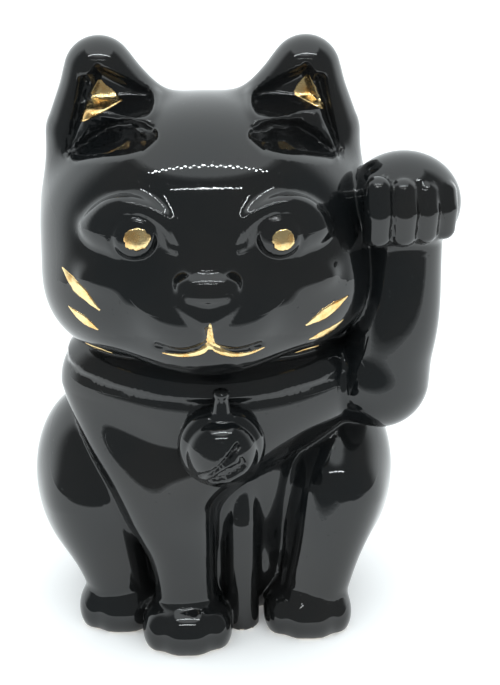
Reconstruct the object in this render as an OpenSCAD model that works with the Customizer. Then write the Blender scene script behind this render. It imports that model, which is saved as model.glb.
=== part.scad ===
// Seated ceramic cat with its left foreleg raised beside its head.
// A hollow slip casting closed by a slab under it, a foreleg and a bell luted on, and brushed gold films.
// Z is up, the cat looks along -Y, and the origin is on the shelf under the middle of the body.

/* [Overall] */
// Height from the shelf to the ear tips, mm
figure_height = 200; // [150:1:260]
// Width across the thighs, mm
hip_width = 128; // [96:1:166]
// Depth of the trunk from belly to back, mm
trunk_depth = 78; // [60:1:100]
// Width of the head across the cheeks, mm
head_width = 112; // [86:1:140]
// Depth of the head without its muzzle, mm
head_depth = 90; // [70:1:116]

/* [Ears] */
// How far the ears stand above the crown, mm
ear_rise = 17; // [8:0.5:30]
// Width of an ear across its rounded tip, mm
ear_tip_width = 22; // [14:0.5:32]
// Distance between the middles of the ear tips, mm
ear_spacing = 67; // [50:1:90]
// Width of the hollow inside an ear, mm
ear_hollow_width = 19; // [10:0.5:26]

/* [Face] */
// Distance between the pupils, mm
eye_spacing = 46; // [34:1:60]
// Width of the eyeball under its lids, mm
eye_width = 27; // [18:0.5:36]
// Width of the nose pad, mm
nose_width = 19; // [12:0.5:28]
// Width of the muzzle over both pads, mm
muzzle_width = 44; // [30:1:60]

/* [Legs] */
// Thickness of the standing foreleg above its foot, mm
foreleg_width = 21; // [14:0.5:30]
// Width of a foot, mm
foot_width = 29; // [20:0.5:38]
// Length of a foot, mm
foot_length = 35; // [24:0.5:48]
// Height of a foot, mm
foot_height = 15.5; // [10:0.5:22]
// Toes on a foot or a paw
toe_count = 4; // [3:1:5]
// Thickness of the raised foreleg, mm
raised_width = 28; // [20:0.5:36]
// Width of the raised paw across its toes, mm
paw_width = 37; // [26:0.5:48]
// Thickness of the tail lying on the back, mm
tail_width = 16; // [10:0.5:22]

/* [Collar and bell] */
// Thickness of the collar roll, mm
collar_width = 8; // [5:0.5:12]
// Bell diameter, mm
bell_width = 27; // [18:0.5:36]
// Width of the slit across the bell, mm
slit_width = 1.8; // [1:0.1:3]
// Hole at the end of the slit, mm
slit_hole = 4; // [2:0.1:6]

/* [Casting] */
// Least thickness of the cast wall, mm
wall = 4; // [3:0.25:7]
// Thickness of the closing slab, mm
slab_thickness = 5; // [3:0.25:9]
// Vent hole through the slab, mm
vent_width = 12; // [6:0.5:20]

/* [Gold] */
// Thickness of a gold film, mm
film = 0.4; // [0.3:0.05:1]
// Width of a gold pupil, mm
pupil_width = 8; // [5:0.25:12]
// Width of the gold mouth from corner to corner, mm
mouth_width = 33; // [20:0.5:46]
// Length of a whisker stroke, mm
whisker_length = 15; // [9:0.5:20]
// Width of a whisker stroke at its middle, mm
whisker_width = 3.4; // [2:0.1:5]
// Width of the gold in an ear, mm
ear_gold_width = 13; // [8:0.5:18]

/* [Fits] */
// Slip joint between a luted piece and the casting, mm
luting_gap = 0.55; // [0.2:0.05:0.8]
// Gap under a gold film, mm
film_gap = 0.3; // [0.2:0.05:0.6]
// Gap around the slab, mm
slab_gap = 0.4; // [0.2:0.05:0.8]

/* [Fineness] */
// Facets around the casting
around = 72; // [48:4:88]
// Rings of facets from the middle of the face to the crown, an even number
face_rings = 24; // [16:2:28]

/* [Hidden] */
kz = figure_height / 204;
kx = hip_width / 131;
ky = trunk_depth / 80;
hx = head_width / 114;
hy = head_depth / 92;
head = [-1.5 * kx, -3 * ky, figure_height - ear_rise - 42 * kz];
eye_x = eye_spacing / 2;
ear_x = ear_spacing / 2;
ear_r = ear_tip_width / 2;
ear_top = figure_height - ear_r - head.z;
foreleg_r = foreleg_width / 2;
raised_r = raised_width / 2;
bell_r = bell_width / 2;
paw = [head.x + (head_width + paw_width) / 2 - 10 * hx, -18 * ky, head.z + 9 * kz];
elbow = [paw.x - 5 * kx, -14 * ky, 91 * kz];
bell_at = [1.3 * kx, 0, 82 * kz];
// where the rays start: at the shelf, in the trunk and at the neck
root = [0, -6 * ky, 0];
waist = [0, 0, 50 * kz];
neck = [head.x / 2, 0, 106 * kz];
// facets cut the corner of the ears' hollows and of the creases under the chin by this much
ear_sag = 2;
low_sag = 0.9;
$fn = 64;

// ---- rounded forms, given as distances that are negative inside ----
function stretch(v, k) = [v.x * k.x, v.y * k.y, v.z * k.z];
function on_body(v) = stretch(v, [kx, ky, kz]);
function on_head(v) = head + stretch(v, [hx, hy, kz]);
function egg(p, c, r) =
    let (q = p - c, a = [q.x / r.x, q.y / r.y, q.z / r.z], k = norm(a))
    k < 0.001 ? -min(r) : k * (k - 1) / norm([a.x / r.x, a.y / r.y, a.z / r.z]);
function limb(p, a, b, ra, rb) =
    let (d = b - a, t = max(0, min(1, ((p - a) * d) / (d * d))))
    norm(p - a - t * d) - ra - t * (rb - ra);
function trail(p, pts, r, i = 0) =
    let (d = limb(p, pts[i], pts[i + 1], r[i], r[i + 1]))
    i > len(pts) - 3 ? d : min(d, trail(p, pts, r, i + 1));
function meld(a, b, k) = let (h = max(k - abs(a - b), 0) / k) min(a, b) - h * h * h * k / 6;
function scoop(a, b, k) = -meld(-a, b, k);
function mirrored(p, x = 0) = [abs(p.x - x), p.y, p.z];

// ---- body ----
function trunk(p) =
    let (m = mirrored(p),
        belly = meld(egg(p, on_body([0, 12, 52]), on_body([45, 40, 60])),
            egg(p, on_body([0, 9, 14]), on_body([50, 35, 26])), 12),
        yoke = meld(egg(p, on_body([0, -4, 88]), on_body([50, 36, 28])),
            trail(p, [on_body([35, -8, 88]), on_body([-10, -24, 60])], [17 * kz, 18 * kz]), 14),
        chest = meld(yoke, trail(p, [on_body([-34, -6, 88]), on_body([-17, -24, 50]),
            on_body([-13, -32, 32]), on_body([-11, -37, 14])],
            [18 * kz, 18 * kz, foreleg_r * 1.15, foreleg_r]), 12),
        folds = meld(trail(p, [on_body([3, -22, 50]), on_body([3, -25, 8])], [6 * kx, 6 * kx]),
            trail(p, [on_body([13, -21, 50]), on_body([12, -22, 8])], [6 * kx, 5 * kx]), 2),
        thigh = meld(egg(m, [hip_width / 2 - 22 * kx, 4 * ky, 45 * kz], on_body([22, 33, 34])),
            trail(m, [on_body([43, -18, 48]), on_body([34, -25, 10])], [15 * kx, 12 * kx]), 10),
        tail = trail(p, [on_body([4, 45, 12]), on_body([16, 49, 24]), on_body([20, 46, 42])],
            [tail_width / 2, tail_width / 2, tail_width * 0.42]))
    meld(meld(meld(meld(belly, chest, 5), folds, 3), thigh, 5), tail, 6);

function foot(p, x, y) =
    let (w = foot_width / 2, l = foot_length / 2, h = foot_height, s = foot_width / toe_count)
    toes(p, [x, y - l * 0.62, h * 0.42], s, [s * 0.62, l * 0.42, h * 0.56], 1.6,
        egg(p, [x, y, h * 0.42], [w, l, h * 0.7]));
function toes(p, c, s, r, k, d, i = 0) =
    let (o = i - (toe_count - 1) / 2)
    i == toe_count ? d
        : toes(p, c, s, r, k, meld(d, egg(p, c + [o * s, abs(o) * 1.6, 0], r), k), i + 1);
function feet(p) = min(foot(p, 32.5 * kx, -25 * ky), foot(p, -37 * kx, -20 * ky), foot(p, -11 * kx, -33 * ky));

// ---- head ----
function ear(m) =
    let (x = ear_x, solid = meld(
            trail(m, [[x + 6 * hx, 5, 15 * kz], [x, 5, ear_top]], [ear_r * 1.3, ear_r]),
            trail(m, [[x - 15 * hx, 6, 24 * kz], [x, 5, ear_top]], [ear_r * 1.1, ear_r]), 6))
    scoop(solid, trail(m, [[x + 1, -10 * hy, 35 * kz], [x, -8 * hy, ear_top - 3]],
        [ear_hollow_width / 2, ear_hollow_width * 0.3]), 3);
function skull(p) =
    let (q = p - head, m = mirrored(q), sz = [hx, hy, kz],
        bare = meld(egg(q, [0, 0, 0], [head_width / 2, head_depth / 2, 42 * kz]),
            egg(m, stretch([28, -9, -18], sz), stretch([28, 31, 22], sz)), 14),
        socket = scoop(bare, egg(m, [eye_x, -57 * hy, 2 * kz], stretch([20, 14, 14], sz)), 12),
        eye = meld(socket, egg(m, [eye_x, -33 * hy, 4 * kz], [eye_width / 2, 12 * hy, eye_width * 0.4]), 3),
        lid = meld(eye, trail(m, [[eye_x * 0.34, -43 * hy, 4 * kz], [eye_x * 0.56, -42 * hy, 11 * kz],
            [eye_x, -39 * hy, 16 * kz], [eye_x * 1.43, -34 * hy, 13 * kz], [eye_x * 1.65, -31 * hy, 6 * kz]],
            [2, 3, 3.4, 3, 2]), 7),
        bridge = meld(lid, trail(q, [[0, -37 * hy, 15 * kz], [0, -46 * hy, -1 * kz]], [8 * hx, 6.5 * hx]), 9),
        nose = meld(bridge, egg(q, [0, -48 * hy, -5 * kz], [nose_width / 2, 6.5 * hy, 5 * kz]), 5),
        pads = meld(nose, egg(m, [muzzle_width * 0.17, -40 * hy, -18 * kz], [muzzle_width * 0.33, 13 * hy, 12 * kz]), 8),
        chin = meld(pads, egg(q, [0, -40 * hy, -31 * kz], stretch([14, 10, 8], sz)), 8),
        cheek = meld(chin, trail(m, [stretch([41, -30, -2], sz), stretch([34, -35, -15], sz),
            stretch([22, -40, -24], sz)], [4, 5, 5]), 10),
        eared = q.z < 5 * kz ? cheek : meld(cheek, ear(m), 12))
    q.z < 5 * kz ? eared
        : scoop(eared, egg(m, [ear_x, -28 * hy, 24 * kz], [ear_r * 1.4, 8 * hy, 6 * kz]), 5);
function collar(p) =
    let (q = p - [head.x / 2, -4 * ky, 103 * kz], y = q.y - q.z * 0.12, z = q.z + q.y * 0.12,
        flat = (norm([q.x / (46.5 * kx), y / (39 * ky)]) - 1) * 43 * kx)
    norm([flat, z]) - collar_width / 2;

// The whole casting: the head and the trunk only meet in the middle
function figure(p) =
    p.z < 22 * kz ? meld(trunk(p), feet(p), 3)
        : p.z < 84 * kz ? trunk(p)
        : p.z > 128 * kz ? skull(p)
        : meld(meld(trunk(p), skull(p), 7), collar(p), 2);

// Inside a casting the slip smooths every form over, and nowhere is it thinner than the wall
function cavity(p) =
    let (m = mirrored(p), w = wall,
        low = meld(egg(p, on_body([0, 11, 48]), on_body([46, 41, 60]) - [w, w, w]),
            egg(m, [hip_width / 2 - 22 * kx, 4 * ky, 44 * kz], on_body([22, 33, 34]) - [w, w, w]), 10),
        base = meld(low, egg(p, on_body([0, 8, 10]), on_body([46, 31, 28]) - [w, w, w]), 10),
        chest = meld(base, egg(p, on_body([0, -4, 88]), on_body([53, 38, 28]) - [w, w, w]), 10),
        neck = meld(chest, egg(p, [head.x, -2 * ky, 106 * kz], on_body([43, 37, 20]) - [w, w, w]), 10),
        whole = meld(neck, egg(p, head, [head_width / 2, head_depth / 2, 42 * kz] - [w, w, w]), 10))
    scoop(whole, -wall * 1.1 - figure(p), 6);

// ---- raised foreleg ----
function raised(p) =
    let (lower = trail(p, [elbow - [9 * kx, -5, 3 * kz], elbow, [paw.x - 2, -17 * ky, 112 * kz],
            [paw.x, -17 * ky, paw.z - 15 * kz]], [raised_r * 0.9, raised_r * 1.15, raised_r * 1.02, raised_r * 0.9]),
        top = egg(p, paw, [paw_width / 2, 19 * hy, 17 * kz]),
        s = paw_width / toe_count * 0.86)
    meld(lower, toes(p, paw + [0, -16 * hy, 1.5 * kz], s, [s * 0.6, 5.5 * hy, 11 * kz], 1.6, top), 4);

function form(k, p) =
    k == "casting" ? figure(p) : k == "cavity" ? cavity(p) : max(raised(p), luting_gap - figure(p));

// ---- skins: rays leave a stem and stop where they meet the form ----
function aim(th, el) = [cos(el) * cos(th), cos(el) * sin(th), sin(el)];
function unit(v) = v / norm(v);
function reach(k, o, d, r = 0, n = 0) =
    let (f = form(k, o + d * r))
    abs(f) < 0.02 || n > 48 ? r : reach(k, o, d, max(r - 0.9 * f, 0), n + 1);
// The same from outside, so that a gap between two feet stays a shallow groove
function close_in(k, o, d, r = 1.2 * 75, n = 0) =
    let (f = form(k, o + d * r))
    f < 0.02 || n > 60 || r < 1 ? r : close_in(k, o, d, r - 0.85 * f, n + 1);
// Facets are closer together at the front
function turn(j, n) = -90 + 360 * j / n - 22 * sin(360 * j / n);

// One column of points up the casting: level rays up to the middle of the trunk, a fan from there
// to the crease of the neck, and a fan from the middle of the head over the face to the crown
function column(k, th, s) =
    let (level = aim(th, 0),
        crease = neck + level * reach(k, neck, level),
        up = unit(crease - waist),
        down = unit(crease - head))
    concat(
        [for (i = [0:s:8]) let (o = root + (waist - root) * i / 10) o + level * close_in(k, o, level)],
        [for (i = [0:s:12]) let (d = unit(level * (12 - i) + up * i)) i < 12
            ? waist + d * (i < 4 ? close_in(k, waist, d) : reach(k, waist, d)) : crease],
        [for (i = [s:s:10]) let (d = unit(down * (10 - i) + level * i)) head + d * reach(k, head, d)],
        [for (i = [s:s:face_rings - 1]) let (d = aim(th, 90 * i / face_rings)) head + d * reach(k, head, d)]);
function skin(k, n, s) = let (c = [for (j = [0:n - 1]) column(k, turn(j, n), s)])
    [for (i = [0:len(c[0]) - 1], j = [0:n - 1]) c[j][i]];
// The raised foreleg is simpler: a level stem with a fan at each end
function stem(a, b, low, mid, top) = concat(
    [for (i = [1:low - 1]) [a, -90 + 90 * i / low]],
    [for (i = [0:mid]) [a + (b - a) * i / mid, 0]],
    [for (i = [1:top - 1]) [b, 90 * i / top]]);
function sleeve(k, st, n) = [for (s = st, j = [0:n - 1])
    let (d = aim(turn(j, n), s[1])) s[0] + d * reach(k, s[0], d)];
function bands(at, count, n, out) = [for (i = [0:count - 2], j = [0:n - 1])
    let (a = at + i * n + j, b = at + i * n + (j + 1) % n, c = a + n, d = b + n)
    each out ? [[a, c, d], [a, d, b]] : [[a, d, c], [a, b, d]]];
function fan(at, n, tip, out) = [for (j = [0:n - 1])
    let (a = at + j, b = at + (j + 1) % n) out ? [a, tip, b] : [a, b, tip]];

module casting_shell() {
    n = around;
    m = around / 2;
    a = skin("casting", n, 1);
    b = skin("cavity", m, 2);
    tip_a = head + [0, 0, reach("casting", head, [0, 0, 1])];
    tip_b = head + [0, 0, reach("cavity", head, [0, 0, 1])];
    na = len(a);
    nb = len(b);
    rim = [for (k = [0:m - 1])
        let (o = 2 * k, i = na + k, j = na + (k + 1) % m)
        each [[o, o + 1, i], [o + 1, j, i], [o + 1, (o + 2) % n, j]]];
    color("black") polyhedron(concat(a, b, [tip_a, tip_b]), concat(
        bands(0, na / n, n, true), fan(na - n, n, na + nb, true),
        bands(na, nb / m, m, false), fan(na + nb - m, m, na + nb + 1, false), rim));
}

module base_slab() {
    m = around / 2;
    outline = [for (j = [0:m - 1])
        let (d = aim(turn(j, m), 0),
            r = min(close_in("cavity", root, d), close_in("cavity", root + [0, 0, slab_thickness], d)) - slab_gap)
        [root.x + r * d.x, root.y + r * d.y]];
    color("gainsboro") difference() {
        linear_extrude(slab_thickness) polygon(outline);
        translate([0, 14 * ky, -1]) cylinder(d = vent_width, h = slab_thickness + 2);
    }
}

module raised_foreleg() {
    n = 40;
    low = elbow + [1, -1, 1];
    st = stem(low, paw, 7, 13, 9);
    a = sleeve("raised", st, n);
    na = len(a);
    color("black") polyhedron(
        concat(a, [low - [0, 0, reach("raised", low, [0, 0, -1])], paw + [0, 0, reach("raised", paw, [0, 0, 1])]]),
        concat(bands(0, len(st), n, true), fan(0, n, na, false), fan(na - n, n, na + 1, true)));
}

// How far forward the casting's front lies at x, z
function front(x, z, from = 0) = from - reach("casting", [x, from, z], [0, -1, 0]);

// A film on the front of the casting: rows of points across a stroke, lifted off the surface
module brushed(rows, from = 0, gap = film_gap) {
    n = len(rows[0]);
    m = len(rows);
    low = [for (r = rows, q = r) [q.x, front(q.x, q.y, from) - gap, q.y]];
    pts = concat(low, [for (q = low) q - [0, film, 0]]);
    e = n * m;
    cell = [for (i = [0:m - 2], j = [0:n - 2])
        let (a = i * n + j, b = a + 1, c = a + n, d = c + 1)
        each [[a, b, d], [a, d, c], [a + e, d + e, b + e], [a + e, c + e, d + e]]];
    ends = [for (j = [0:n - 2]) let (a = j, b = j + 1, c = (m - 1) * n + j, d = c + 1)
        each [[a, a + e, b + e], [a, b + e, b], [c, d + e, c + e], [c, d, d + e]]];
    sides = [for (i = [0:m - 2]) let (a = i * n, c = a + n, b = a + n - 1, d = b + n)
        each [[a, c + e, a + e], [a, c, c + e], [b, b + e, d + e], [b, d + e, d]]];
    color("gold") polyhedron(pts, concat(cell, ends, sides));
}

// A leaf shaped stroke from a to b, both x and z
function leaf(a, b, width, sag, m = 9) = [for (i = [0:m - 1])
    let (t = i / (m - 1), d = (b - a) / norm(b - a), s = [-d.y, d.x],
        c = a + t * (b - a) + s * sag * sin(180 * t),
        w = width / 2 * max(0.16, pow(sin(180 * min(1, max(0, 0.06 + 0.88 * t))), 0.8)))
    [for (k = [-1:1]) c + s * w * k]];

module bell() {
    cx = bell_at.x;
    cz = bell_at.z;
    chest_y = front(cx, cz);
    at = [cx, chest_y - bell_r * 0.42, cz];
    n = 10;
    step = bell_width * 1.3 / n;
    grid = [for (i = [0:n], j = [0:n]) let (x = cx + (j - n / 2) * step, z = cz + (i - n / 2) * step)
        [x, front(x, z) - luting_gap, z]];
    e = (n + 1) * (n + 1);
    back = [for (q = grid) [q.x, 0, q.z]];
    cell = [for (i = [0:n - 1], j = [0:n - 1]) let (a = i * (n + 1) + j, b = a + 1, c = a + n + 1, d = c + 1)
        each [[a, c, d], [a, d, b], [a + e, d + e, c + e], [a + e, b + e, d + e]]];
    side = [for (j = [0:n - 1]) let (a = j, b = j + 1, c = n * (n + 1) + j, d = c + 1,
            f = j * (n + 1), g = f + n + 1, h = f + n, k = g + n)
        each [[a, b + e, a + e], [a, b, b + e], [c, c + e, d + e], [c, d + e, d],
            [f, f + e, g + e], [f, g + e, g], [h, k + e, h + e], [h, k, k + e]]];
    color("dimgray") difference() {
        union() {
            translate(at) sphere(r = bell_r);
            translate([cx, at.y + 1, cz + bell_r - 1.5]) cylinder(d1 = 6, d2 = 4.4, h = 6);
            translate([cx, at.y + 1, cz + bell_r + 5]) sphere(d = 5.6);
        }
        translate(at) rotate([0, -38, 0]) translate([-bell_r * 0.62, -bell_r * 1.2, -slit_width / 2])
            cube([bell_r * 1.24, bell_r * 0.6, slit_width]);
        translate([at.x + bell_r * 0.24, at.y - bell_r * 0.7, at.z - bell_r * 0.14]) rotate([90, 0, 0])
            cylinder(d = slit_hole, h = bell_r);
        polyhedron(concat(grid, back), concat(cell, side));
    }
}

module gold_mouth() {
    w = mouth_width / 2;
    z = head.z - 19 * kz;
    drop = 9.5 * kz;
    // from the left corner through the middle to the right corner, thicker at the fork
    rows = [for (i = [-10:10])
        let (t = i / 10, a = abs(t), c = [head.x + w * t, z - drop + 3.2 * pow(a, 2.2)])
        let (h = 0.35 + 1.15 * pow(max(0, 1 - a), 0.7), stem = drop * 0.85 * pow(max(0, 1 - a * 5.5), 1.3))
        [c + [0, h + stem], c + [0, h * 0.2 + stem * 0.4], c - [0, h * 0.6]]];
    brushed(rows, gap = film_gap + low_sag / 2);
}

module pupil(s) {
    r = pupil_width / 2;
    c = [head.x + s * eye_x, head.z + 4 * kz];
    rows = [for (i = [-4:4])
        let (t = i / 4, x = r * 0.96 * t, h = r * max(0.2, sqrt(max(0, 1 - t * t))) * (1 + 0.1 * sin(200 * t + 60 * s)))
        [for (k = [-2:2]) c + [x, h * k / 2]]];
    brushed([for (q = rows) [for (k = [0:4]) q[4 - k]]]);
}
module gold_pupil_left() pupil(-1);
module gold_pupil_right() pupil(1);

module ear_gold(s) {
    c = [head.x + s * (ear_x + 1), head.z + ear_top - 9 * kz];
    h = ear_gold_width * 0.98;
    rows = [for (i = [0:6])
        let (t = i / 6, w = ear_gold_width / 2 * (1 - 0.86 * t), z = c.y + (t - 0.45) * h)
        [for (k = [-2:2]) [c.x + s * (1 - t) * 1.5 + w * k / 2, z - (1 - t) * s * k * 1.1]]];
    brushed([for (q = rows) [for (k = [0:4]) q[k]]], from = head.y + 5, gap = film_gap + ear_sag);
}
module gold_ear_left() ear_gold(-1);
module gold_ear_right() ear_gold(1);

// Strokes run outward and up across the cheek, the lowest one short
module whisker(s, i) {
    tip_x = [48, 47.5, 42][i - 1] * hx;
    root_x = tip_x - whisker_length * [0.86, 0.9, 0.72][i - 1];
    root_z = head.z - [21, 27, 31][i - 1] * kz;
    rise = whisker_length * [0.62, 0.42, 0.1][i - 1];
    a = [head.x + s * root_x, root_z];
    b = [head.x + s * tip_x, root_z + rise];
    brushed(s > 0 ? leaf(b, a, whisker_width, 0.8) : leaf(a, b, whisker_width, 0.8),
        gap = film_gap + (i == 3 ? low_sag : 0));
}
module gold_whisker_left_1() whisker(-1, 1);
module gold_whisker_left_2() whisker(-1, 2);
module gold_whisker_left_3() whisker(-1, 3);
module gold_whisker_right_1() whisker(1, 1);
module gold_whisker_right_2() whisker(1, 2);
module gold_whisker_right_3() whisker(1, 3);

casting_shell();
base_slab();
raised_foreleg();
bell();
gold_mouth();
gold_pupil_left();
gold_pupil_right();
gold_ear_left();
gold_ear_right();
gold_whisker_left_1();
gold_whisker_left_2();
gold_whisker_left_3();
gold_whisker_right_1();
gold_whisker_right_2();
gold_whisker_right_3();
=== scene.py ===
import math
import time

import bmesh
import bpy
import numpy as np
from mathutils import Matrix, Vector


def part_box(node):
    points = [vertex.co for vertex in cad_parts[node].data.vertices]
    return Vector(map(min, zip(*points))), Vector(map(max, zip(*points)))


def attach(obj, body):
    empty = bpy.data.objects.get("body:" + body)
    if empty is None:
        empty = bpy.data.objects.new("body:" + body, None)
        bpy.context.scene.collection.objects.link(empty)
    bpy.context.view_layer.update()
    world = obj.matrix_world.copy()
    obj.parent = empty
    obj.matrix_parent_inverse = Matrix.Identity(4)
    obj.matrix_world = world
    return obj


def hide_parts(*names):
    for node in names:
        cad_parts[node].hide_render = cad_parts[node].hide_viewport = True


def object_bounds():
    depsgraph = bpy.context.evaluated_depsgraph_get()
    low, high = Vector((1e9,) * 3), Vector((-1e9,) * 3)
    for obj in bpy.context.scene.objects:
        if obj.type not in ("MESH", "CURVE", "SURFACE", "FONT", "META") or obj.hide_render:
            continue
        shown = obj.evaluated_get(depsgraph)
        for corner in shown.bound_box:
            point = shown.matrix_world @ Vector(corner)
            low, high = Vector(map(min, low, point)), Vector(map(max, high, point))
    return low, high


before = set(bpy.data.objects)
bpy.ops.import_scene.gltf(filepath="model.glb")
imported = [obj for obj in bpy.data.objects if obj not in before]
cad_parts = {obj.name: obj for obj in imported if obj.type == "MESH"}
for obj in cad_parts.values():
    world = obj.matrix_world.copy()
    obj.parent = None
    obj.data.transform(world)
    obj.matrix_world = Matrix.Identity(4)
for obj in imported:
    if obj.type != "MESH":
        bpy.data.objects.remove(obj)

startTime = time.time()
cadLow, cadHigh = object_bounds()
cadLow, cadHigh = list(cadLow), list(cadHigh)

# the cat is modelled on a pattern 204 units tall and scaled to the casting
patternHeight = 204.0
unit = (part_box("casting_shell")[1].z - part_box("casting_shell")[0].z) / patternHeight


def say(text):
    print(f"[{time.time() - startTime:6.1f} s] {text}")


# clay: distances that are negative inside a form
def turned(angles):
    ax, ay, az = (math.radians(t) for t in angles)
    rx = np.array([[1, 0, 0], [0, math.cos(ax), -math.sin(ax)], [0, math.sin(ax), math.cos(ax)]])
    ry = np.array([[math.cos(ay), 0, math.sin(ay)], [0, 1, 0], [-math.sin(ay), 0, math.cos(ay)]])
    rz = np.array([[math.cos(az), -math.sin(az), 0], [math.sin(az), math.cos(az), 0], [0, 0, 1]])
    return rz @ ry @ rx


def egg(p, at, radii, turn=None):
    q = p - np.array(at, float)
    if turn:
        q = q @ turned(turn)
    r = np.array(radii, float)
    k0 = np.sqrt(((q / r) ** 2).sum(-1)) + 1e-9
    k1 = np.sqrt(((q / r ** 2) ** 2).sum(-1)) + 1e-9
    return k0 * (k0 - 1) / k1


def limb(p, a, b, ra, rb):
    a = np.array(a, float)
    ba = np.array(b, float) - a
    t = np.clip(((p - a) @ ba) / (ba @ ba), 0, 1)
    return np.linalg.norm(p - a - t[:, None] * ba, axis=1) - (ra + (rb - ra) * t)


def path(p, points, radii):
    d = limb(p, points[0], points[1], radii[0], radii[1])
    for i in range(1, len(points) - 1):
        d = np.minimum(d, limb(p, points[i], points[i + 1], radii[i], radii[i + 1]))
    return d


def curve(points, steps=6):
    # smooth curve through the points, with the radius as a fourth number
    pts = np.array(points, float)
    ext = np.vstack([2 * pts[0] - pts[1], pts, 2 * pts[-1] - pts[-2]])
    out = []
    for i in range(len(pts) - 1):
        a, b, c, d = ext[i:i + 4]
        for k in range(steps):
            t = k / steps
            out.append(0.5 * (2 * b + (c - a) * t + (2 * a - 5 * b + 4 * c - d) * t * t
                              + (3 * b - a - 3 * c + d) * t ** 3))
    out.append(pts[-1])
    return np.array(out)


def tube(p, points, steps=4):
    c = curve(points, steps)
    return path(p, c[:, :3], c[:, 3])


def column(p, stops):
    # upright roll whose middle and radius change smoothly with height
    c = curve(stops, 30)
    c = c[np.argsort(c[:, 2])]
    x, y, r = (np.interp(p[:, 2], c[:, 2], c[:, k]) for k in (0, 1, 3))
    past = np.maximum(np.maximum(c[0, 2] - p[:, 2], p[:, 2] - c[-1, 2]), 0)
    return np.sqrt((p[:, 0] - x) ** 2 + (p[:, 1] - y) ** 2 + past ** 2) - r


def blend(a, b, k):
    h = np.maximum(k - np.abs(a - b), 0) / k
    return np.minimum(a, b) - h ** 3 * k / 6


def carve(a, b, k):
    return -blend(-a, b, k)


def step(t):
    t = np.clip(t, 0, 1)
    return t * t * (3 - 2 * t)


def flat(p, corners, r=0):
    # distance in the x, z plane to a polygon with rounded corners
    q = p[:, (0, 2)]
    c = np.array(corners, float)
    best = np.full(len(q), 1e9)
    inside = np.zeros(len(q), bool)
    for a, b in zip(c, np.roll(c, -1, 0)):
        e = b - a
        w = q - a
        t = np.clip((w @ e) / (e @ e), 0, 1)
        best = np.minimum(best, np.linalg.norm(w - t[:, None] * e, axis=1))
        between = (a[1] > q[:, 1]) != (b[1] > q[:, 1])
        inside ^= between & (q[:, 0] < e[0] * (q[:, 1] - a[1]) / (e[1] if e[1] else 1e-9) + a[0])
    return np.where(inside, -best, best) - r


def mirrored(p):
    q = p.copy()
    q[:, 0] = np.abs(q[:, 0])
    return q


def near(p, d, low, high, work):
    # only the points in this box can feel the form, so only they are worked out
    m = ((p > low) & (p < high)).all(1)
    if m.any():
        d[m] = work(p[m], d[m])
    return d


# trunk and legs
trunkShape = {"belly": (45, 40, 60), "hips": (50, 35, 26), "chest": (50, 36, 28), "thigh": (23, 33, 34),
              "legWidth": 21, "fold": 6.2}


def trunk(p):
    m = mirrored(p)
    leg = trunkShape["legWidth"] / 2
    belly = blend(egg(p, (0, 12, 52), trunkShape["belly"]), egg(p, (0, 9, 14), trunkShape["hips"]), 12)
    chest = egg(p, (0, -4, 88), trunkShape["chest"])
    chest = blend(chest, path(p, [(35, -8, 88), (-10, -21.5, 63)], [17, 18]), 14)
    chest = blend(chest, column(p, [(-34, -6, 88, 18.5), (-25.5, -17, 68, 19), (-17, -24.5, 46, 16.3),
                                    (-12.5, -29.5, 28, leg * 1.12), (-11, -31.5, 8, leg)]), 12)
    d = blend(belly, chest, 4)
    # belly fold between the legs
    fold = trunkShape["fold"]
    d = blend(d, path(p, [(9, -22, 56), (8.5, -25, 40), (8.5, -28, -4)], [fold * 0.8, fold, fold]), 3)
    thigh = egg(m, (42, 4, 45), trunkShape["thigh"], (0, 6, 0))
    thigh = blend(thigh, path(p, [(43, -18, 48), (34, -26, 12)], [15, 12]), 10)
    thigh = blend(thigh, path(p, [(-43, -16, 48), (-34, -19, 12)], [15, 12]), 10)
    return blend(d, thigh, 4)


footShape = {"at": [(32, -24), (-34, -16.5), (-11, -32)], "width": 14, "length": 18, "height": 15.5,
             "toes": 4}


def feet(p):
    w, l, h, n = (footShape[k] for k in ("width", "length", "height", "toes"))
    out = None
    for x, y in footShape["at"]:
        d = egg(p, (x, y, h * 0.4), (w, l, h * 0.74))
        for i in range(n):
            o = i - (n - 1) / 2
            d = blend(d, egg(p, (x + o * w * 0.5, y - l * 0.55 + abs(o) * 2.6, h * 0.34),
                             (w * 0.36, l * 0.46, h * 0.5)), 6)
        out = d if out is None else np.minimum(out, d)
    return out


def tail(p):
    return tube(p, [(2, 44, 10, 8), (15, 48, 20, 8.2), (22, 46, 34, 7.4), (19, 44, 46, 6)], 8)


# head, worked out from its own middle
headAt = np.array((-1.8, -3.0, 145.0))
headShape = {"turn": -1.2, "earShift": 0.9, "skull": (55.8, 46, 42), "cheek": (27, 31, 24),
             "snoutWidth": 1.9}


def skull(q, m):
    d = egg(q, (0, 0, 0), headShape["skull"])
    d = blend(d, egg(m, (27.5, -10, -18.5), headShape["cheek"]), 14)
    # the snout is a broad upright roll, so that the front of the face stays steep down to the mouth
    w = headShape["snoutWidth"]
    return blend(d, limb(q / (w, 1, 1), (0, -31, -12), (0, -36.5, -28.5), 17, 13), 16)


eyeShape = {"at": (22.2, 6.0), "almond": (16.5, 11, 9.8), "ball": 12.5, "iris": 6.2, "relief": 0.4,
            "groove": 0.3, "crease": 0.34}


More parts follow.
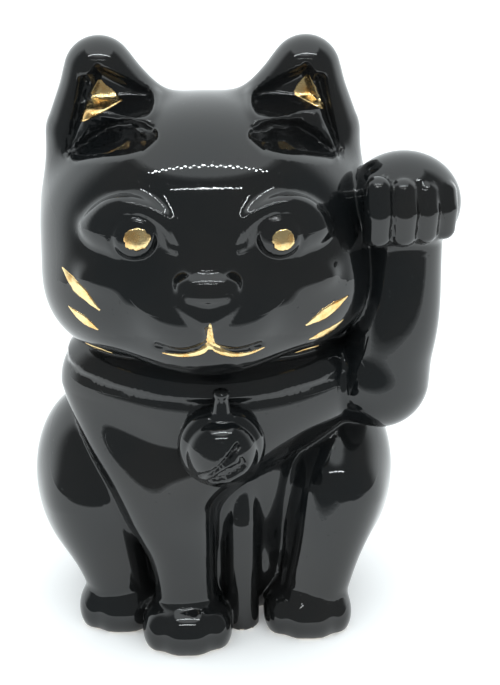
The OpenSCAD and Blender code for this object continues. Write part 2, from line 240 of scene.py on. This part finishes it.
def eyes(m, d):
    x, z = eyeShape["at"]
    d = carve(d, egg(m, (x + 0.5, -56, z - 4), (21, 13.5, 13)), 9)
    d = blend(d, egg(m, (x - 0.3, -32.8, z + 0.4), eyeShape["almond"], (0, 4, 0)), 3)
    d = blend(d, egg(m, (x, -33, z), (eyeShape["ball"], eyeShape["ball"] - 0.6, eyeShape["ball"] - 0.4)), 2)
    # upper lid from the inner corner over the ball to the outer corner
    d = blend(d, tube(m, [(7.5, -42.2, 3.6, 1.2), (12.8, -42.6, 10.6, 1.8), (21.5, -40.8, 15.2, 2.4),
                          (30, -37.2, 13.8, 2.4), (36.5, -33, 7.2, 1.6)], 8), 7)
    d = blend(d, egg(m, (x + 6, -36.5, z - 14.5), (11, 6.5, 5)), 7)
    # the iris stands a little proud inside a groove, and two creases run over the inner half of the lid
    out = np.hypot(m[:, 0] - x, m[:, 2] - z)
    d = d - eyeShape["relief"] * step((eyeShape["iris"] - out) / 1.8 + 0.5)
    ring = out - eyeShape["iris"] - 1.1
    d = d + eyeShape["groove"] * np.exp(-ring ** 2) * step((-30 - m[:, 1]) / 4)
    for drop, side in ((0, 0), (-2.1, 1.4)):
        crease = [(22.3 - side, 15.4 + drop), (17, 14 + drop), (12.6 + side * 0.6, 11 + drop),
                  (9.8 + side, 4.6)]
        line = tube(m * (1, 0, 1), [(a, 0, b, 0) for a, b in crease])
        d = d + eyeShape["crease"] * np.exp(-line ** 2)
    return d


noseShape = {"bridge": 7, "pad": (9.8, 5.6, 4.5), "muzzle": (13, 11, 10), "shield": 1.1, "groove": 0.6}


def nose(q, m, d):
    b = noseShape["bridge"]
    d = blend(d, path(q, [(0, -33, 5), (0, -41.5, 0), (0, -45.5, -4)], [b, b, b * 0.8]), 12)
    d = blend(d, egg(m, (7, -43, -18), noseShape["muzzle"]), 14)
    d = blend(d, egg(q, (0, -50.4, -7), noseShape["pad"]), 3)
    # upper lip, a shield that ends in a point over the mouth
    ahead = step((-30 - q[:, 1]) / 10)
    shield = flat(q, [(-8, -11), (8, -11), (0.8, -17.5), (-0.8, -17.5)], 2.4)
    d = d - noseShape["shield"] * step(0.5 - shield / 4.2) * ahead
    # mouth line, cut in the clay
    line = tube(m * (1, 0, 1), [(0.2, 0, -20, 0), (0.5, 0, -24.6, 0), (3.5, 0, -27, 0), (9, 0, -28.3, 0),
                                (16, 0, -27, 0)])
    return d + noseShape["groove"] * np.exp(-line ** 2) * ahead


earShape = {"spacing": 33.5, "tip": 10.8, "top": 48.2, "hollow": 7.5, "lip": 1.2, "scoop": 3.2}


def ears(m, d):
    x, r, t = earShape["spacing"], earShape["tip"], earShape["top"]
    e = path(m, [(x + 6, 5, 10), (x + 5.4, 5, 28), (x + 0.5, 5, t)], [r * 1.22, r * 1.25, r])
    e = blend(e, path(m, [(x - 17, 6, 27), (x, 5, t)], [r * 1.15, r]), 5)
    d = blend(d, e, 9)
    top = t + r
    front = step((3 - m[:, 1]) / 6)
    # the hollow runs down the outer side, and a lip rolls round it
    o = m - (x, 0, top)
    h = flat(o, [(-0.3, -9), (-14.5, -17.5), (3.5, -18.5)], 3.3)
    h = blend(h, path(o * (1, 0, 1), [(4.2, 0, -13), (10.8, 0, -35)], [3.8, 1.6]), 4)
    lip = np.exp(-((h - 0.6) / 1.6) ** 2) * step((-13 - o[:, 2]) / 5) * step((7 - o[:, 0]) / 4)
    d = d + earShape["hollow"] * step(-h / 6) * front - earShape["lip"] * lip * front
    lens = flat(o, [(-17.5, -25.3), (-11, -24.6), (-2, -26.4), (4, -29.6), (8, -33.8), (-2, -31),
                    (-14, -28.2)], 2.8)
    return d + earShape["scoop"] * step(-lens / 4.6) * front


def face(q, d):
    m = mirrored(q)
    return nose(q, m, eyes(m, d))


def bothEars(q, d):
    return ears(mirrored(q + (headShape["earShift"], 0, 0)), d)


def head(p):
    q = (p - headAt) @ turned((0, 0, headShape["turn"]))
    d = skull(q, mirrored(q))
    d = near(q, d, (-60, -80, -45), (60, -12, 36), face)
    return near(q, d, (-80, -50, 2), (80, 40, 80), bothEars)


# raised foreleg
armShape = {"shoulder": (46, -8, 86, 14), "elbow": (56.8, -14, 89.5, 16.6), "middle": (61, -16.5, 112, 15.2),
            "wrist": (62.8, -16.5, 138, 13.2), "paw": (19, 17, 17), "pawAt": (62.3, -17, 153),
            "toeWidths": (8.4, 8.2, 7.0, 6.6), "toesBack": (0, 0.3, 1.6, 5)}


def arm(p):
    shoulder, elbow, middle, wrist = (armShape[k] for k in ("shoulder", "elbow", "middle", "wrist"))
    upper = limb(p, shoulder[:3], elbow[:3], shoulder[3], elbow[3])
    d = blend(column(p, [elbow, middle, wrist]), upper, 6)
    at = armShape["pawAt"]
    paw = egg(p, at, armShape["paw"])
    x = at[0] - 14.5
    for i, (w, y) in enumerate(zip(armShape["toeWidths"], armShape["toesBack"])):
        c = x + w / 2
        toe = path(p, [(c, -30 + y, at[2] + 7.5 - i * 0.7), (c, -32.6 + y, at[2] + 1),
                       (c, -31.4 + y, at[2] - 6)], [w * 0.58, w * 0.62, w * 0.58])
        paw = blend(paw, toe, 1.2)
        x += w * 0.98
    return blend(d, paw, 2.5)


# collar
collarShape = {"width": 3.2, "thickness": 1.3, "height": 103.5, "tilt": 11}


def collar(p, d):
    # a band laid on the chest, lowest at the bell
    a = math.radians(collarShape["tilt"])
    across = (p[:, 2] - collarShape["height"]) * math.cos(a) - (p[:, 1] + 4) * math.sin(a)
    return d - collarShape["thickness"] * step((collarShape["width"] - np.abs(across)) / 3 + 0.5)


# bell
bellShape = {"at": (1.3, -43.5, 78.0), "ball": 12.4, "flange": 14.6, "slit": 0.9, "deep": 1.5, "knob": 2.1}


def bell(p, d):
    at = np.array(bellShape["at"])
    d = blend(d, egg(p, at + (0, 1.5, 0), (bellShape["flange"], 9.5, bellShape["flange"])), 1.0)
    b = egg(p, at, (bellShape["ball"],) * 3)
    b = blend(b, path(p, [at + (0, -1, 12), at + (0, -1, 19.5)], [3.4, bellShape["knob"]]), 2.5)
    b = blend(b, egg(p, at + (0, -1.4, 20), (2.8, 2.8, 1.8)), 0.8)
    # slit across the ball, and a leaf with a hooked end beside it
    o = (p - at) * (1, 0, 1)
    slit = tube(o, [(-7.2, 0, -6.6, 0), (-1.5, 0, -1.6, 0), (4.6, 0, 5.2, 0)])
    leaf = tube(o, [(-3.6, 0, -7.4, 0), (0.6, 0, -4.2, 1.1), (4, 0, -2.4, 0.9), (6.2, 0, -1.4, 0.5),
                    (6.0, 0, 0.6, 0)])
    s = bellShape["slit"]
    cuts = np.exp(-(slit / s) ** 2) + np.exp(-(np.maximum(leaf, 0) / s) ** 2)
    b = b + bellShape["deep"] * cuts * step((at[1] - 4 - p[:, 1]) / 4)
    return blend(d, b, 0.7)


# slab that closes the casting
slabLow, slabHigh = (np.array(v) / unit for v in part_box("base_slab"))
slabAt = (slabLow + slabHigh) / 2
slabShape = {"power": 2.2, "gap": 0.5, "vent": 6.1, "ventAt": (0, 13.9), "corner": 0.5}


def oval(p, more=0):
    rx, ry = (slabHigh - slabLow)[:2] / 2 + more
    n = slabShape["power"]
    k = (np.abs((p[:, 0] - slabAt[0]) / rx) ** n + np.abs((p[:, 1] - slabAt[1]) / ry) ** n) ** (1 / n)
    return (k - 1) * ry


def recess(p):
    top = slabHigh[2] + slabShape["gap"]
    d = np.maximum(oval(p, slabShape["gap"]), p[:, 2] - top)
    return blend(d, egg(p, (0, slabAt[1], top), (26, 18, 14)), 2)


def slab(p):
    vent = np.hypot(p[:, 0] - slabShape["ventAt"][0], p[:, 1] - slabShape["ventAt"][1]) - slabShape["vent"]
    c = slabShape["corner"]
    d = carve(oval(p), np.minimum(p[:, 2], slabHigh[2] - p[:, 2]), c * 3)
    return carve(d, vent, c * 2)


def figure(p):
    d = trunk(p)
    d = near(p, d, (-70, -70, 80), (70, 60, 122), collar)
    d = near(p, d, (-70, -70, -10), (70, 10, 34), lambda a, b: blend(b, feet(a), 3))
    d = near(p, d, (-20, 20, -10), (50, 80, 70), lambda a, b: blend(b, tail(a), 5))
    d = near(p, d, (-100, -100, 84), (100, 100, 300), lambda a, b: blend(b, head(a), 5))
    d = near(p, d, (20, -60, 60), (100, 30, 190), lambda a, b: blend(b, arm(a), 3))
    d = near(p, d, (-25, -75, 60), (30, -20, 110), bell)
    # flat underneath, with the rebate for the slab and the start of the hollow above it
    d = -blend(-d, p[:, 2], 1.2)
    return near(p, d, (-60, -40, -10), (60, 50, 30), lambda a, b: carve(b, recess(a), 0.6))


# from the field to a mesh
def axis(stops):
    # coordinates from (position, spacing) pairs, so that the face can be finer than the back
    out = [stops[0][0]]
    for (a, spacing), (b, _) in zip(stops[:-1], stops[1:]):
        n = max(1, round((b - a) / spacing))
        out += list(a + (b - a) * np.arange(1, n + 1) / n)
    return np.array(out)


gridShape = {"coarse": 6, "margin": 2.5, "reach": 0.8, "batch": 300000, "stride": 0.7, "flattest": 0.1}


def spread(blocks, n):
    # the value of each coarse block on all of its grid points
    for k in range(3):
        blocks = np.repeat(blocks, gridShape["coarse"], k)
    return blocks[:n[0], :n[1], :n[2]]


def sample(field, axes):
    # the field on the grid, worked out in full only near the surface
    n = [len(a) for a in axes]
    coarse = gridShape["coarse"]
    starts = [range(0, k, coarse) for k in n]
    mid = [np.array([a[b:b + coarse].mean() for b in bl]) for a, bl in zip(axes, starts)]
    size = [np.array([np.ptp(a[b:b + coarse]) + gridShape["margin"] for b in bl])
            for a, bl in zip(axes, starts)]
    g = np.stack(np.meshgrid(*mid, indexing="ij"), -1)
    d = field(g.reshape(-1, 3)).reshape(g.shape[:3])
    reach = np.sqrt(size[0][:, None, None] ** 2 + size[1][None, :, None] ** 2 + size[2][None, None, :] ** 2)
    v = spread(d, n).copy()
    ids = np.argwhere(spread(np.abs(d) < reach * gridShape["reach"], n))
    for first in range(0, len(ids), gridShape["batch"]):
        i = ids[first:first + gridShape["batch"]]
        v[tuple(i.T)] = field(np.stack([axes[k][i[:, k]] for k in range(3)], 1))
    return v


def surfaceNet(v, axes):
    # one corner in each cell that the surface crosses, and a quad round each crossed edge
    inside = v < 0
    nx, ny, nz = inside.shape
    count = np.zeros((nx - 1, ny - 1, nz - 1), np.int8)
    for dx in (0, 1):
        for dy in (0, 1):
            for dz in (0, 1):
                count += inside[dx:nx - 1 + dx, dy:ny - 1 + dy, dz:nz - 1 + dz]
    on = (count > 0) & (count < 8)
    ids = -np.ones(on.shape, np.int64)
    c = np.argwhere(on)
    ids[on] = np.arange(len(c))
    total = np.zeros((len(c), 3))
    hits = np.zeros(len(c))
    for k in range(3):
        o = [a for a in range(3) if a != k]
        for i in (0, 1):
            for j in (0, 1):
                a = c.copy()
                a[:, o[0]] += i
                a[:, o[1]] += j
                b = a.copy()
                b[:, k] += 1
                va, vb = v[tuple(a.T)], v[tuple(b.T)]
                cross = (va < 0) != (vb < 0)
                t = np.where(cross, va / (va - vb + 1e-30), 0)
                p = np.stack([axes[n][a[:, n]] for n in range(3)], 1)
                p[:, k] += t * (axes[k][b[:, k]] - axes[k][a[:, k]])
                total[cross] += p[cross]
                hits[cross] += 1
    verts = total / hits[:, None]
    quads = []
    for k in range(3):
        o = [(k + 1) % 3, (k + 2) % 3]
        a = [slice(None)] * 3
        b = [slice(None)] * 3
        a[k], b[k] = slice(0, -1), slice(1, None)
        for n in o:
            a[n] = b[n] = slice(1, -1)
        sa, sb = inside[tuple(a)], inside[tuple(b)]
        e = np.argwhere(sa != sb)
        flip = sa[tuple(e.T)]
        for n in o:
            e[:, n] += 1
        corner = []
        for du, dv in ((-1, -1), (0, -1), (0, 0), (-1, 0)):
            q = e.copy()
            q[:, o[0]] += du
            q[:, o[1]] += dv
            corner.append(ids[tuple(q.T)])
        q = np.stack(corner, 1)
        q[~flip] = q[~flip][:, ::-1]
        quads.append(q)
    return verts, np.concatenate(quads)


def slope(field, p, e=0.04):
    shift = np.eye(3) * e
    return np.stack([field(p + shift[i]) - field(p - shift[i]) for i in range(3)], 1) / (2 * e)


def settle(field, v, rounds=3):
    # draws the corners onto the surface, along its slope
    for _ in range(rounds):
        d = field(v)
        g = slope(field, v)
        move = -(d / np.maximum((g ** 2).sum(1), gridShape["flattest"]))[:, None] * g
        length = np.linalg.norm(move, axis=1)
        v = v + move * np.minimum(1, gridShape["stride"] / np.maximum(length, 1e-9))[:, None]
    return v


def sculpt(name, field, axes):
    v = sample(field, axes)
    verts, quads = surfaceNet(v, axes)
    verts = settle(field, verts)
    me = bpy.data.meshes.new(name)
    me.from_pydata((verts * unit).tolist(), [], quads.tolist())
    me.shade_smooth()
    n = slope(field, verts)
    n /= np.maximum(np.linalg.norm(n, axis=1), 1e-9)[:, None]
    me.normals_split_custom_set_from_vertices(n.tolist())
    ob = bpy.data.objects.new(name, me)
    bpy.context.scene.collection.objects.link(ob)
    say(f"{name}: {len(quads)} faces")
    return ob


glazed = sculpt("glazed_cat", figure, (
    axis([(-70, 1.6), (-40, 0.95), (-28, 0.72), (-7, 0.9), (5, 0.72), (26, 0.95), (40, 1.4), (90, 1)]),
    axis([(-66, 0.95), (-24, 1.8), (62, 1)]),
    axis([(-3, 1.5), (66, 1.0), (90, 1.4), (100, 1.05), (145, 0.75), (162, 1.25), (208, 1)])))
base = sculpt("closing_slab", slab, (
    axis([(-58, 1.6), (58, 1)]), axis([(-40, 1.4), (50, 1)]), axis([(-1.5, 0.5), (7.5, 1)])))

# gold, brushed on over the glaze
goldShape = {"lift": 0.16, "edge": 0.03, "sunk": 0.3, "across": 9, "fill": 17, "start": -72, "rounds": 70,
             "stride": 0.7}
rng = np.random.default_rng(7)


def wobble(n, size, rounds=3):
    # a hand's unevenness along a stroke
    w = rng.normal(0, 1, n + 8)
    for _ in range(rounds):
        w = np.convolve(w, (0.25, 0.5, 0.25), "same")
    return w[4:-4] * size


def ribbon(points, widths, n=40, uneven=0.07):
    # rows across a brush stroke that follows the points
    c = curve([(*a, w) for a, w in zip(points, widths)], n // (len(points) - 1))
    along = np.gradient(c[:, :2], axis=0)
    along /= np.linalg.norm(along, axis=1)[:, None]
    side = np.stack([-along[:, 1], along[:, 0]], 1)
    t = np.linspace(-1, 1, goldShape["across"])
    left = c[:, 2] * (0.5 + wobble(len(c), uneven))
    right = c[:, 2] * (0.5 + wobble(len(c), uneven))
    return np.array([c[i, :2] + side[i] * np.where(t < 0, left[i], right[i])[:, None] * t[:, None]
                     for i in range(len(c))])


def between(first, second, n=24, uneven=0.15):
    # rows that fill the patch between two edges
    a, b = (curve(e, 12)[:, :2] for e in (first, second))
    a, b = (np.array([np.interp(np.linspace(0, 1, n), np.linspace(0, 1, len(e)), e[:, k]) for k in (0, 1)]).T
            for e in (a, b))
    a = a + wobble(2 * n, uneven).reshape(n, 2)
    b = b + wobble(2 * n, uneven).reshape(n, 2)
    t = np.linspace(0, 1, goldShape["fill"])[None, :, None]
    return a[:, None] * (1 - t) + b[:, None] * t


def film(name, *patches):
    # each patch is moved from in front of the cat onto the glaze, domed, and closed underneath
    verts, faces = [], []
    for rows in patches:
        m, n = rows.shape[:2]
        p = np.zeros((m * n, 3))
        p[:, 0], p[:, 2] = rows[..., 0].ravel(), rows[..., 1].ravel()
        p[:, 1] = goldShape["start"]
        for _ in range(goldShape["rounds"]):
            p[:, 1] += goldShape["stride"] * figure(p)
        g = slope(figure, p)
        g /= np.linalg.norm(g, axis=1)[:, None]
        u = np.abs(np.linspace(-1, 1, n))[None, :]
        v = np.abs(np.linspace(-1, 1, m))[:, None]
        dome = ((1 - u ** 4) * (1 - v ** 6)).reshape(-1, 1)
        top = p + g * (goldShape["edge"] + goldShape["lift"] * dome)
        low = p - g * goldShape["sunk"]
        start = len(verts)
        verts += list(top) + list(low)
        k = m * n
        a = np.arange(k).reshape(m, n) + start
        for i in range(m - 1):
            for j in range(n - 1):
                q = (a[i, j], a[i + 1, j], a[i + 1, j + 1], a[i, j + 1])
                faces += [q, tuple(c + k for c in q[::-1])]
        ring = list(a[0, :]) + list(a[1:, -1]) + list(a[-1, -2::-1]) + list(a[-2:0:-1, 0])
        faces += [(ring[i - 1], ring[i], ring[i] + k, ring[i - 1] + k) for i in range(len(ring))]
    me = bpy.data.meshes.new(name)
    me.from_pydata((np.array(verts) * unit).tolist(), [], [tuple(int(c) for c in f) for f in faces])
    bm = bmesh.new()
    bm.from_mesh(me)
    bmesh.ops.recalc_face_normals(bm, faces=bm.faces)
    bm.to_mesh(me)
    bm.free()
    me.shade_smooth()
    ob = bpy.data.objects.new(name, me)
    bpy.context.scene.collection.objects.link(ob)
    return ob


def blot(x, z, rx, rz, uneven=0.35):
    # a dab of the brush
    t = np.linspace(0.04, math.pi - 0.04, 26)
    upper = [(x - rx * math.cos(a), z + rz * math.sin(a) * 0.98) for a in t]
    lower = [(x - rx * math.cos(a), z - rz * math.sin(a) * 0.98) for a in t]
    return between(upper[::3] + upper[-1:], lower[::3] + lower[-1:], 26, uneven)


gold = {
    "gold_mouth": film("mouth_gold",
                       ribbon([(-2.3, 127.3), (-2.4, 123.5), (-2.3, 120.4), (-2.1, 117.2)],
                              [0.6, 1.9, 2.6, 3.6]),
                       ribbon([(-2.6, 119.4), (-5, 116.6), (-9, 115.3), (-13, 115), (-17.2, 115.3)],
                              [2.2, 2.4, 1.9, 1.3, 0.3]),
                       ribbon([(-1.8, 119.4), (1.2, 116.4), (5.4, 114.9), (9.8, 115), (14.9, 116.4)],
                              [2.2, 2.5, 2.0, 1.3, 0.3])),
    "gold_pupil_left": film("pupil_gold_left", blot(-24.1, 151.2, 4.1, 3.7)),
    "gold_pupil_right": film("pupil_gold_right", blot(20.6, 150.6, 3.5, 3.6)),
    "gold_ear_left": film("ear_gold_left", between([(-36.3, 191.8), (-39.4, 186.4), (-42.6, 179)],
                                                   [(-35.6, 191.6), (-32.6, 188.8), (-28.7, 185.3)])),
    "gold_ear_right": film("ear_gold_right", between([(30.9, 193), (28.4, 190), (26.4, 186.5)],
                                                     [(31.6, 192.8), (34.2, 188.6), (37.2, 182)])),
}
whiskerAt = {
    "gold_whisker_left_1": [(-48.6, 137.8), (-43.2, 133.2), (-36.5, 127.2)],
    "gold_whisker_left_2": [(-46.9, 126.2), (-42, 122.8), (-37.4, 119.8)],
    "gold_whisker_left_3": [(-42.5, 111.4), (-38, 109.4), (-33.6, 108.4)],
    "gold_whisker_right_1": [(42.4, 128.6), (35.4, 125.2), (28.1, 121.4)],
    "gold_whisker_right_2": [(41.2, 120.2), (35.4, 116.9), (29.5, 115.3)],
    "gold_whisker_right_3": [(33.6, 110.2), (29.6, 109), (25.6, 108.6)],
}
whiskerWidth = {"1": 4.0, "2": 3.0, "3": 2.4}
for name, points in whiskerAt.items():
    w = whiskerWidth[name[-1]]
    stroke = ribbon(points, [w * 0.1, w, w * 0.16], 36, 0.06)
    gold[name] = film(name.replace("gold_whisker", "whisker_gold"), stroke)
say(f"{len(gold)} gold films")


# finishes
def newMaterial(name, **settings):
    mat = bpy.data.materials.new(name)
    mat.use_nodes = True
    nodes, links = mat.node_tree.nodes, mat.node_tree.links
    shader = nodes["Principled BSDF"]
    for key, value in settings.items():
        shader.inputs[key.replace("_", " ")].default_value = value
    return mat, nodes, links, shader


def noise(nodes, links, scale, detail=3, rough=0.5, stretch=None):
    place = nodes.new("ShaderNodeTexCoord")
    tex = nodes.new("ShaderNodeTexNoise")
    tex.inputs["Scale"].default_value = scale
    tex.inputs["Detail"].default_value = detail
    tex.inputs["Roughness"].default_value = rough
    if stretch:
        scaled = nodes.new("ShaderNodeMapping")
        scaled.inputs["Scale"].default_value = stretch
        links.new(place.outputs["Object"], scaled.inputs["Vector"])
        links.new(scaled.outputs[0], tex.inputs["Vector"])
    else:
        links.new(place.outputs["Object"], tex.inputs["Vector"])
    return tex.outputs["Fac"]


def ramp(nodes, links, source, stops):
    node = nodes.new("ShaderNodeValToRGB")
    while len(node.color_ramp.elements) < len(stops):
        node.color_ramp.elements.new(0.5)
    for element, (at, colour) in zip(node.color_ramp.elements, stops):
        element.position = at
        element.color = colour if isinstance(colour, tuple) else (colour, colour, colour, 1)
    links.new(source, node.inputs[0])
    return node.outputs[0]


def bump(nodes, links, source, strength, distance, after=None):
    node = nodes.new("ShaderNodeBump")
    node.inputs["Strength"].default_value = strength
    node.inputs["Distance"].default_value = distance
    links.new(source, node.inputs["Height"])
    if after:
        links.new(after, node.inputs["Normal"])
    return node.outputs[0]


glazeLook = {"colour": (0.0042, 0.0052, 0.0058, 1), "thin": (0.0085, 0.0078, 0.0072, 1), "ior": 1.56,
             "smooth": 0.03, "dull": 0.075, "swell": 0.00011, "peel": 0.000009, "pin": 0.00002}


def makeGlaze():
    mat, nodes, links, shader = newMaterial("black_glaze", IOR=glazeLook["ior"])
    # a shade warmer where the glaze runs thin
    colour = ramp(nodes, links, noise(nodes, links, 30, 4),
                  [(0.35, glazeLook["colour"]), (0.8, glazeLook["thin"])])
    links.new(colour, shader.inputs["Base Color"])
    dull = ramp(nodes, links, noise(nodes, links, 55, 6, 0.6),
                [(0.45, glazeLook["smooth"]), (0.8, glazeLook["dull"])])
    links.new(dull, shader.inputs["Roughness"])
    swell = bump(nodes, links, noise(nodes, links, 38, 1), 1, glazeLook["swell"])
    peel = bump(nodes, links, noise(nodes, links, 620, 2), 1, glazeLook["peel"], swell)
    pin = ramp(nodes, links, noise(nodes, links, 900, 0), [(0.16, 0.0), (0.2, 1.0)])
    links.new(bump(nodes, links, pin, 1, glazeLook["pin"], peel), shader.inputs["Normal"])
    return mat


clayLook = {"colour": (0.62, 0.56, 0.48, 1), "stain": (0.36, 0.29, 0.22, 1), "grain": 0.00006,
            "footRing": 0.0006, "down": -0.6, "rebate": 0.03, "rim": 1.2}


def makeClay(name="bare_clay"):
    mat, nodes, links, shader = newMaterial(name, Roughness=0.86)
    colour = ramp(nodes, links, noise(nodes, links, 70, 5, 0.65),
                  [(0.3, clayLook["stain"]), (0.55, clayLook["colour"])])
    links.new(colour, shader.inputs["Base Color"])
    grain = bump(nodes, links, noise(nodes, links, 900, 5, 0.7), 1, clayLook["grain"])
    links.new(grain, shader.inputs["Normal"])
    return mat


goldLook = {"bright": (1.0, 0.76, 0.38, 1), "deep": (0.86, 0.4, 0.08, 1), "smooth": 0.14, "worn": 0.4,
            "pool": 0.0003, "brush": 0.00003}


def makeGold():
    mat, nodes, links, shader = newMaterial("gold_lustre", Metallic=1.0)
    colour = ramp(nodes, links, noise(nodes, links, 210, 3, 0.6),
                  [(0.45, goldLook["bright"]), (0.75, goldLook["deep"])])
    links.new(colour, shader.inputs["Base Color"])
    worn = ramp(nodes, links, noise(nodes, links, 420, 5, 0.65),
                [(0.35, goldLook["smooth"]), (0.75, goldLook["worn"])])
    links.new(worn, shader.inputs["Roughness"])
    pool = bump(nodes, links, noise(nodes, links, 260, 1), 1, goldLook["pool"])
    brush = bump(nodes, links, noise(nodes, links, 500, 3, 0.6, (1, 1, 4)), 1, goldLook["brush"], pool)
    links.new(brush, shader.inputs["Normal"])
    return mat


glazed.data.materials.append(makeGlaze())
glazed.data.materials.append(makeClay("foot_ring"))
# the ring it stands on is wiped clean of glaze, and so is the rebate that holds the slab
centres = np.array([f.center for f in glazed.data.polygons])
ups = np.array([f.normal.z for f in glazed.data.polygons])
heights = centres[:, 2]
rebate = (heights > 0) & (heights < clayLook["rebate"]) & (oval(centres / unit, clayLook["rim"]) < 0)
bare = (heights < clayLook["footRing"]) & (ups < clayLook["down"]) | rebate
glazed.data.polygons.foreach_set("material_index", bare.astype(int).tolist())
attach(glazed, "root")
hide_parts("casting_shell", "raised_foreleg", "bell")

base.data.materials.append(makeClay())
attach(base, "root")
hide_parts("base_slab")

goldMaterial = makeGold()
for name, ob in gold.items():
    ob.data.materials.append(goldMaterial)
    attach(ob, "root")
    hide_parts(name)
say("finishes")


# stage
stageLook = {"world": 1.5, "tint": (0.93, 0.985, 1, 1), "floor": (0.95, 0.95, 0.95, 1), "floorGlow": 0.12,
             "opening": 0.24}


def emissive(name, verts, faces, levels):
    # a glowing card that only the glaze and the gold see, with its own level at each corner
    me = bpy.data.meshes.new(name)
    me.from_pydata(verts, [], faces)
    glow = me.attributes.new("glow", "FLOAT", "POINT")
    glow.data.foreach_set("value", levels)
    ob = bpy.data.objects.new(name, me)
    bpy.context.scene.collection.objects.link(ob)
    mat = bpy.data.materials.new(name)
    mat.use_nodes = True
    nodes, links = mat.node_tree.nodes, mat.node_tree.links
    nodes.clear()
    light = nodes.new("ShaderNodeEmission")
    light.inputs[0].default_value = stageLook["tint"]
    level = nodes.new("ShaderNodeAttribute")
    level.attribute_name = "glow"
    out = nodes.new("ShaderNodeOutputMaterial")
    links.new(level.outputs["Fac"], light.inputs[1])
    links.new(light.outputs[0], out.inputs[0])
    me.materials.append(mat)
    ob.visible_camera = False
    ob.visible_diffuse = False
    ob.visible_shadow = False


# dark front of the light tent
openingShape = {"radius": 0.9, "middle": 0.1, "side": 112, "low": -6.3, "high": 60, "fade": 26, "topFade": 4,
                "columns": 60, "rows": 24}


def makeOpening():
    # darkest in the middle and fading into the white walls at its sides and top
    r, side, low, high = (openingShape[k] for k in ("radius", "side", "low", "high"))
    columns, rows = openingShape["columns"], openingShape["rows"]
    dark, light = stageLook["opening"], stageLook["world"]
    verts, faces, glow = [], [], []
    for i in range(columns + 1):
        around = side * (2 * i / columns - 1)
        a = math.radians(around)
        for j in range(rows + 1):
            up = low + (high - low) * j / rows
            e = math.radians(up)
            verts.append((r * math.sin(a) * math.cos(e), -r * math.cos(a) * math.cos(e),
                          openingShape["middle"] + r * math.sin(e)))
            edge = min((side - abs(around)) / openingShape["fade"], (high - up) / openingShape["topFade"])
            glow.append(dark + (light - dark) * float(1 - step(edge)))
    for i in range(columns):
        for j in range(rows):
            k = i * (rows + 1) + j
            faces.append((k, k + rows + 1, k + rows + 2, k + 1))
    emissive("tent_opening", verts, faces, glow)


# the floor of the tent ends in front of the cat
apronShape = {"rows": (-0.25, -0.29, -0.35, -0.9), "half": 0.7, "height": 0.0005,
              "glow": (1.3, 0.7, stageLook["opening"], stageLook["opening"])}


def makeApron():
    half = apronShape["half"]
    verts = [(x, y, apronShape["height"]) for y in apronShape["rows"] for x in (-half, half)]
    glow = [level for level in apronShape["glow"] for _ in (-half, half)]
    emissive("tent_apron", verts, [(0, 1, 3, 2), (2, 3, 5, 4), (4, 5, 7, 6)], glow)


# two strips of small lamps, set zigzag under the roof of the tent
stripShape = {"height": 0.6, "lamp": 0.0038, "stretch": 1.5, "corners": 10, "unrest": 0.0006, "glow": 90.0,
              "rows": [(-0.2, -0.28, 0.28, 31, 0.006), (-0.42, -0.215, 0.19, 27, 0.004)]}


def makeStrips():
    verts, faces = [], []
    r, corners = stripShape["lamp"], stripShape["corners"]
    for y, left, right, count, zigzag in stripShape["rows"]:
        for i in range(count):
            x = left + (right - left) * i / (count - 1)
            cy = y + zigzag * (-1) ** i + rng.normal(0, stripShape["unrest"])
            k = len(verts)
            for j in range(corners):
                a = math.tau * j / corners
                verts.append((x + r * stripShape["stretch"] * math.cos(a), cy + r * math.sin(a),
                              stripShape["height"]))
            faces.append(tuple(range(k + corners - 1, k - 1, -1)))
    emissive("lamp_strips", verts, faces, [stripShape["glow"]] * len(verts))


makeOpening()
makeApron()
makeStrips()

scene = bpy.context.scene
scene.view_settings.view_transform = "Standard"
world = bpy.data.worlds.new("tent")
scene.world = world
world.use_nodes = True
world.node_tree.nodes["Background"].inputs[0].default_value = stageLook["tint"]
world.node_tree.nodes["Background"].inputs[1].default_value = stageLook["world"]

me = bpy.data.meshes.new("floor")
me.from_pydata([(-3, -3, 0), (3, -3, 0), (3, 3, 0), (-3, 3, 0)], [], [(0, 1, 2, 3)])
floor = bpy.data.objects.new("floor", me)
scene.collection.objects.link(floor)
me.materials.append(newMaterial("floor", Base_Color=stageLook["floor"], Roughness=0.9,
                                Emission_Strength=stageLook["floorGlow"])[0])

# camera
cameraLook = {"azimuth": -3, "elevation": 22, "distance": 0.470, "aim": (0.0127, 0, 0.096), "lens": 70.95}
camera = bpy.data.cameras.new("camera")
cameraObject = bpy.data.objects.new("camera", camera)
scene.collection.objects.link(cameraObject)
scene.camera = cameraObject
a, e = math.radians(cameraLook["azimuth"]), math.radians(cameraLook["elevation"])
back = Vector((math.sin(a) * math.cos(e), -math.cos(a) * math.cos(e), math.sin(e)))
cameraObject.location = Vector(cameraLook["aim"]) + back * cameraLook["distance"]
cameraObject.rotation_mode = "QUATERNION"
cameraObject.rotation_quaternion = (-back).to_track_quat("-Z", "Y")
camera.sensor_width = 36
camera.lens = cameraLook["lens"]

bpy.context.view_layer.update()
say("done")
